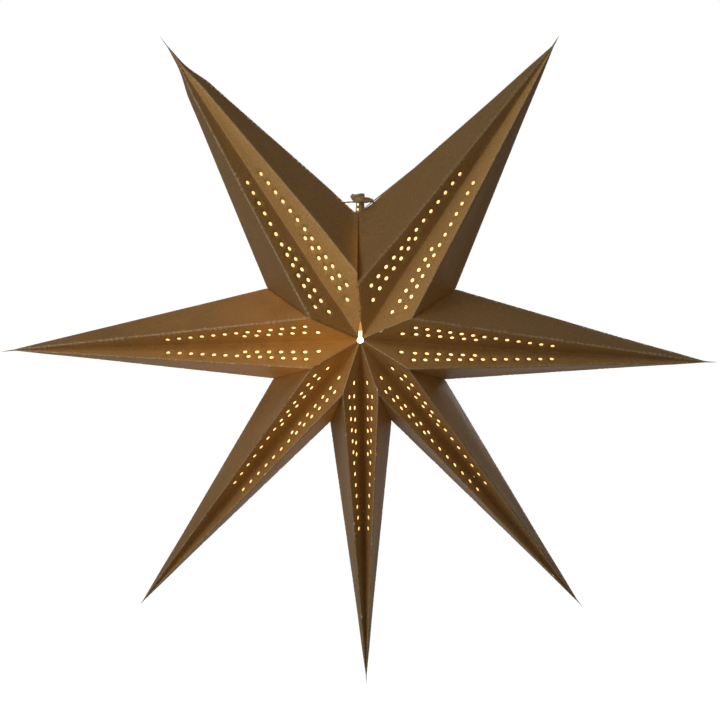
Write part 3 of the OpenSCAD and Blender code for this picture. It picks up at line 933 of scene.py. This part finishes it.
def build_sleeve():
    high = SLEEVE_TOP - SLEEVE_BOTTOM
    girth = SLEEVE_GIRTH
    rnd = random.Random(41)
    waves = [(rnd.uniform(0, 6.28), rnd.uniform(0.6, 1.0)) for _ in range(4)]
    bottom = [Vector((girth * i / ROUND_STEPS, 0)) for i in range(ROUND_STEPS)]
    right = [Vector((girth, high * i / HIGH_STEPS)) for i in range(HIGH_STEPS)]
    top = [Vector((girth * (1 - i / ROUND_STEPS), high)) for i in range(ROUND_STEPS)]
    left = [Vector((0, high * (1 - i / HIGH_STEPS))) for i in range(HIGH_STEPS)]
    dots = [Vector((girth * 0.5 + DOT_ASIDE, z - SLEEVE_BOTTOM)) for z in DOT_HEIGHTS]
    verts, faces = cut_panel(bottom + right + top + left, dots, 1.0, DOT_D, DOT_KEEP_OFF)
    points, glow = [], []
    for q in verts:
        z = SLEEVE_BOTTOM + q.y
        turn = 2 * math.pi * (q.x / girth - 0.25)
        r = eased(SLEEVE_WIDTHS, z)
        lap = LAP * max(0.0, 1 - (girth - q.x) / LAP_WIDE)
        rim = max(0.0, (z - (SLEEVE_TOP - RIM_HIGH)) / RIM_HIGH)
        r += (lap + 0.05 * math.sin(2 * turn + z * 0.3 + waves[0][0])
              + 0.16 * rim * math.sin(3 * turn + waves[1][0]))
        z += 0.35 * rim ** 3 * math.sin(2 * turn + waves[2][0])
        points.append(to_row(Vector((r * math.cos(-turn), r * math.sin(-turn), z))))
        glow.append(eased([(SLEEVE_BOTTOM, 1.0), (111.5, 1.0), (114.5, 0.0)], z))
    mesh = bpy.data.meshes.new("rolled_sleeve")
    mesh.from_pydata(points, [], [tuple(f) for f in faces])
    mesh.update()
    fill_attribute(mesh, "lit", glow)
    first = mesh.polygons[0]
    if first.normal.dot(Vector((first.center.x, first.center.y, 0))) < 0:
        mesh.flip_normals()
    obj = finish_piece(mesh, "rolled_sleeve", [sleeve_mat, sleeve_inner_mat], "cord_sleeve")
    solidify = obj.modifiers.new("wall", "SOLIDIFY")
    solidify.thickness = SLEEVE_WALL * MM
    solidify.offset = -1
    solidify.material_offset = 1
    solidify.material_offset_rim = 1


# Tie: a paper ribbon wound round the sleeve and knotted, two loops, and two twisted strands
TIE_Z = NOTCH_Z + 12.6
RIBBON_T = 0.35


class Soft:
    """Points and faces of a piece made of grids."""
    def __init__(self):
        self.points = []
        self.faces = []

    def grid(self, rows, closed=False, ends=False):
        start = len(self.points)
        wide = len(rows[0])
        for row in rows:
            self.points += [to_row(p) for p in row]
        for i in range(len(rows) - 1):
            for j in range(wide if closed else wide - 1):
                k = (j + 1) % wide
                self.faces.append((start + i * wide + j, start + i * wide + k,
                                   start + (i + 1) * wide + k, start + (i + 1) * wide + j))
        if ends:
            self.faces.append(tuple(start + j for j in range(wide))[::-1])
            last = start + (len(rows) - 1) * wide
            self.faces.append(tuple(last + j for j in range(wide)))


def ribbon_layer(soft, rows, thick=RIBBON_T):
    """A strip with both its faces, from rows of places across it."""
    front, back = [], []
    for i, row in enumerate(rows):
        after = rows[min(i + 1, len(rows) - 1)]
        before = rows[max(i - 1, 0)]
        f, g = [], []
        for j, p in enumerate(row):
            along = after[j] - before[j]
            across = row[min(j + 1, len(row) - 1)] - row[max(j - 1, 0)]
            normal = along.cross(across)
            normal = normal.normalized() if normal.length > 1e-9 else Vector((0, -1, 0))
            f.append(p + normal * thick / 2)
            g.append(p - normal * thick / 2)
        front.append(f)
        back.append(g)
    soft.grid([f + g[::-1] for f, g in zip(front, back)], closed=True, ends=True)


def bow_loop(soft, root, angle, length, widths, curl, depth, seed):
    """One loop of the bow: out along the front, round its end and back behind."""
    a = math.radians(angle)
    axis = Vector((math.cos(a), 0, math.sin(a)))
    perp = Vector((-math.sin(a), 0, math.cos(a))) * (1 if math.cos(a) > 0 else -1)
    rnd = random.Random(seed)
    phase = [rnd.uniform(0, 6.28) for _ in range(3)]
    rows = []
    for i in range(29):
        t = i / 28
        s = math.sin(math.pi * t) ** 0.85
        w = eased(widths, s)
        y = -depth * math.cos(math.pi * t)
        row = []
        for j in range(9):
            v = j / 4 - 1
            cup = curl * v * abs(v) + 0.18 * math.sin(5 * s + 2.5 * v + phase[0])
            row.append(root + axis * (length * s - 0.5 * v * v * s) + perp * (w / 2 * v)
                       + Vector((0, y - cup + 0.15 * math.sin(9 * s + phase[1]), 0)))
        rows.append(row)
    ribbon_layer(soft, rows)


def wound_band(soft):
    rows = []
    for i in range(61):
        t = i / 60 * 2 * math.pi * 1.75 + 0.4
        lift = 0.5 * math.sin(t * 0.9) - 0.1
        r = eased(SLEEVE_WIDTHS, TIE_Z) + 0.45 + 0.35 * i / 60 + 0.12 * math.sin(3.1 * t)
        row = []
        for j in range(7):
            v = j / 3 - 1
            bulge = 0.16 * math.cos(v * 5 + t * 2.2)
            row.append(Vector(((r + bulge) * math.cos(t), (r + bulge) * math.sin(t),
                               TIE_Z + lift + 2.1 * v)))
        rows.append(row)
    ribbon_layer(soft, rows)


def knot(soft):
    rnd = random.Random(77)
    phase = [rnd.uniform(0, 6.28) for _ in range(4)]
    middle = Vector((-0.5, -5.2, TIE_Z + 0.2))
    rows = []
    for i in range(25):
        lat = math.pi * i / 24
        row = []
        for j in range(36):
            lon = 2 * math.pi * j / 36
            d = Vector((math.sin(lat) * math.cos(lon), math.sin(lat) * math.sin(lon),
                        math.cos(lat)))
            pleat = 1 + 0.07 * math.sin(7 * lon + 3 * math.cos(lat) + phase[0]) * math.sin(lat)
            pleat += 0.05 * math.sin(4 * lat + 2 * lon + phase[1])
            row.append(middle + Vector((d.x * 3.3, d.y * 1.9, d.z * 3.0)) * pleat)
        rows.append(row)
    soft.grid(rows[1:-1], closed=True, ends=True)


# The strands' height over the notch and reach from the axis, and where their end knots begin
STRAND_UP = 10.0
STRAND_FROM, STRAND_TO = 3.2, 30.5
KNOT_FROM = 66


def strand(soft, sign):
    """A twisted strand from the sleeve into the upper arm, where a knot stops it."""
    z = NOTCH_Z + STRAND_UP
    path = []
    for i in range(75):
        t = i / 74
        x = sign * (STRAND_FROM + (STRAND_TO - STRAND_FROM) * t)
        sway = 0.35 * math.sin(2.3 * t * math.pi + (0.4 if sign > 0 else 1.3))
        climb = sway * min(1.0, 6 * t) + (0.6 * t if sign > 0 else 0.2)
        path.append(Vector((x, -0.3 - 0.2 * math.sin(4 * t), z + climb)))
    rows = []
    for i, p in enumerate(path):
        row = []
        for j in range(16):
            a = 2 * math.pi * j / 16
            r = 0.56 + 0.13 * math.cos(2 * a + i * 0.55)
            if i > KNOT_FROM:
                knot_r = 1.5 * math.sin(math.pi * (i - KNOT_FROM) / 8.2) ** 0.7
                r = 0.6 + knot_r * (1 + 0.08 * math.cos(3 * a + i))
            row.append(p + Vector((0, r * math.cos(a), r * math.sin(a))))
        rows.append(row)
    soft.grid(rows, closed=True, ends=True)


def build_tie():
    soft = Soft()
    wound_band(soft)
    knot(soft)
    bow_loop(soft, Vector((-1.2, -5.4, TIE_Z - 0.2)), 147, 7.6,
             [(0.0, 6.4), (0.5, 6.2), (1.0, 3.6)], 0.5, 0.75, 5)
    bow_loop(soft, Vector((0.6, -5.2, TIE_Z + 0.5)), -5, 10.2,
             [(0.0, 4.4), (0.6, 4.3), (1.0, 2.4)], 1.0, 0.8, 9)
    strand(soft, -1)
    strand(soft, 1)
    mesh = bpy.data.meshes.new("ribbon_tie")
    mesh.from_pydata(soft.points, [], soft.faces)
    mesh.update()
    finish_piece(mesh, "ribbon_tie", [ribbon_mat], "tie_bow")


# Glue flap that crosses behind the slit and lets the lamp's light through
SLIT_FLAP_LOW = 7.4
SLIT_FLAP_HIGH = 11.0
SLIT_FLAP_HALF = 1.9
SLIT_FLAP_BEHIND = 2.6


def build_slit_flap():
    rows = []
    for i in range(15):
        z = SLIT_FLAP_LOW + SLIT_FLAP_HIGH * (i / 14)
        y = -(CENTRE_RISE - SLIT_FLAP_BEHIND + 0.3 * z)
        rows.append([Vector((SLIT_FLAP_HALF * (j / 3 - 1), y, z)) for j in range(7)])
    soft = Soft()
    soft.grid(rows)
    mesh = bpy.data.meshes.new("card_slit_flap")
    mesh.from_pydata(soft.points, [], soft.faces)
    mesh.update()
    finish_piece(mesh, "card_slit_flap", [backlit_mat], None)


# Holder, insert and bulb keep their solids, with their own materials
def plain(name, colour, rough, spread=0.15, scale=0.6, emission=None, strength=0.0):
    n = Nodes(name)
    grain = n.noise(n.coords(), scale, 4.0, 0.6)
    shader = n.tree.nodes.new("ShaderNodeBsdfPrincipled")
    low = tuple(c * (1 - spread) for c in colour)
    high = tuple(min(1.0, c * (1 + spread)) for c in colour)
    n.link(n.mix(grain, low, high), shader.inputs["Base Color"])
    shader.inputs["Roughness"].default_value = rough
    if emission:
        shader.inputs["Emission Color"].default_value = emission + (1,)
        shader.inputs["Emission Strength"].default_value = strength
    n.link(shader.outputs[0], n.out.inputs["Surface"])
    return n.mat


PAPER = (0.36, 0.245, 0.12)
HOLDER = (0.62, 0.58, 0.50)
LAMP_WARM = (1.0, 0.80, 0.42)
sleeve_mat = kraft("sleeve_paper", PAPER, (0.48, 0.34, 0.18), (0.25, 0.165, 0.075), glow=False)
ribbon_mat = kraft("ribbon_paper", PAPER, (0.50, 0.36, 0.19), (0.23, 0.15, 0.07), glow=False)
sleeve_inner_mat = inner_card("sleeve_inner", 1.25)
backlit_mat = plain("card_backlit", (0.24, 0.14, 0.06), 0.7, 0.15, 0.6, (1.0, 0.42, 0.03), 0.46)
build_sleeve()
build_tie()
build_slit_flap()

looks = {
    # The holder's plastic glows with painted light of the bulb beside it
    "holder_cap": plain("holder_cap_plastic_painted_glow", HOLDER, 0.45, 0.04, 0.3, LAMP_WARM, 0.45),
    "holder_barrel": plain("holder_barrel_plastic_painted_glow", HOLDER, 0.45, 0.04, 0.3, LAMP_WARM, 0.60),
    "contact_insert": plain("insert_ceramic", (0.70, 0.67, 0.60), 0.6),
    "candle_bulb": plain("bulb_frosted", (0.95, 0.90, 0.78), 0.35, 0.03, 0.2,
                         (1.0, 0.82, 0.5), 3.0),
}
for node_name, material in looks.items():
    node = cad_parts[node_name]
    for slot in node.material_slots:
        slot.material = material


# Floor and surroundings: pale, and plain white to the camera
def white_to_camera(name, colour):
    n = Nodes(name)
    path = n.add("ShaderNodeLightPath")
    seen = n.math("MAXIMUM", path.outputs["Is Camera Ray"],
                  n.math("MAXIMUM", path.outputs["Is Glossy Ray"],
                         path.outputs["Is Transmission Ray"]))
    diffuse = n.tree.nodes.new("ShaderNodeBsdfDiffuse")
    diffuse.inputs["Color"].default_value = colour + (1,)
    emit = n.tree.nodes.new("ShaderNodeEmission")
    emit.inputs["Strength"].default_value = 1.0
    both = n.tree.nodes.new("ShaderNodeAddShader")
    n.link(diffuse.outputs[0], both.inputs[0])
    n.link(emit.outputs[0], both.inputs[1])
    choose = n.tree.nodes.new("ShaderNodeMixShader")
    n.link(seen, choose.inputs[0])
    n.link(diffuse.outputs[0], choose.inputs[1])
    n.link(both.outputs[0], choose.inputs[2])
    n.link(choose.outputs[0], n.out.inputs["Surface"])
    return n.mat


FLOOR_Z = -1.45
FLOOR_HALF = 12
floor_mesh = bpy.data.meshes.new("floor")
floor_corners = [(-FLOOR_HALF, -FLOOR_HALF), (FLOOR_HALF, -FLOOR_HALF),
                 (FLOOR_HALF, FLOOR_HALF), (-FLOOR_HALF, FLOOR_HALF)]
floor_mesh.from_pydata([(x, y, FLOOR_Z) for x, y in floor_corners], [], [(0, 1, 2, 3)])
floor = bpy.data.objects.new("floor", floor_mesh)
floor_mesh.materials.append(white_to_camera("floor_white", (0.72, 0.72, 0.71)))
scene.collection.objects.link(floor)

ROOM_LIGHT = 0.02
world = bpy.data.worlds.new("world")
scene.world = world
world.use_nodes = True
tree = world.node_tree
tree.nodes.clear()
out = tree.nodes.new("ShaderNodeOutputWorld")
path = tree.nodes.new("ShaderNodeLightPath")
seen_a = tree.nodes.new("ShaderNodeMath")
seen_a.operation = "MAXIMUM"
seen_b = tree.nodes.new("ShaderNodeMath")
seen_b.operation = "MAXIMUM"
tree.links.new(path.outputs["Is Camera Ray"], seen_a.inputs[0])
tree.links.new(path.outputs["Is Glossy Ray"], seen_a.inputs[1])
tree.links.new(seen_a.outputs[0], seen_b.inputs[0])
tree.links.new(path.outputs["Is Transmission Ray"], seen_b.inputs[1])
light_bg = tree.nodes.new("ShaderNodeBackground")
light_bg.inputs["Color"].default_value = (1.0, 0.985, 0.96, 1)
light_bg.inputs["Strength"].default_value = ROOM_LIGHT
white_bg = tree.nodes.new("ShaderNodeBackground")
white_bg.inputs["Color"].default_value = (1, 1, 1, 1)
white_bg.inputs["Strength"].default_value = 1.0
mix = tree.nodes.new("ShaderNodeMixShader")
tree.links.new(seen_b.outputs[0], mix.inputs[0])
tree.links.new(light_bg.outputs[0], mix.inputs[1])
tree.links.new(white_bg.outputs[0], mix.inputs[2])
tree.links.new(mix.outputs[0], out.inputs["Surface"])


def area_light(name, location, size, power, colour=(1, 1, 1)):
    data = bpy.data.lights.new(name, "AREA")
    data.shape = "DISK"
    data.size = size
    data.energy = power
    data.color = colour
    obj = bpy.data.objects.new(name, data)
    obj.location = location
    look = target - Vector(location)
    obj.rotation_euler = look.to_track_quat("-Z", "Y").to_euler()
    scene.collection.objects.link(obj)
    return obj


LAMP_AWAY = 3.0
LAMP_SIZE = 1.5
# Each lamp's angle from the front and above level, and its power in watts
LAMPS = {"left": (-45, 12, 22), "upper_left": (-40, 50, 16), "low_left": (-73, -25, 14),
         "far_left": (-75, 50, 10), "right": (35, 12, 5), "upper_right": (40, 50, 9)}


def from_side(azimuth, height):
    """A lamp's place, by its angles from the front and above level."""
    a, e = math.radians(azimuth), math.radians(height)
    toward = Vector((math.sin(a) * math.cos(e), -math.cos(a) * math.cos(e), math.sin(e)))
    return target + LAMP_AWAY * toward


for lamp_name, (azimuth, height, watts) in LAMPS.items():
    area_light(lamp_name, from_side(azimuth, height), LAMP_SIZE, watts)
area_light("back", (0.7, 3.0, 0.7), 2.0, 16).data.spread = math.radians(70)

scene.view_settings.view_transform = "Standard"
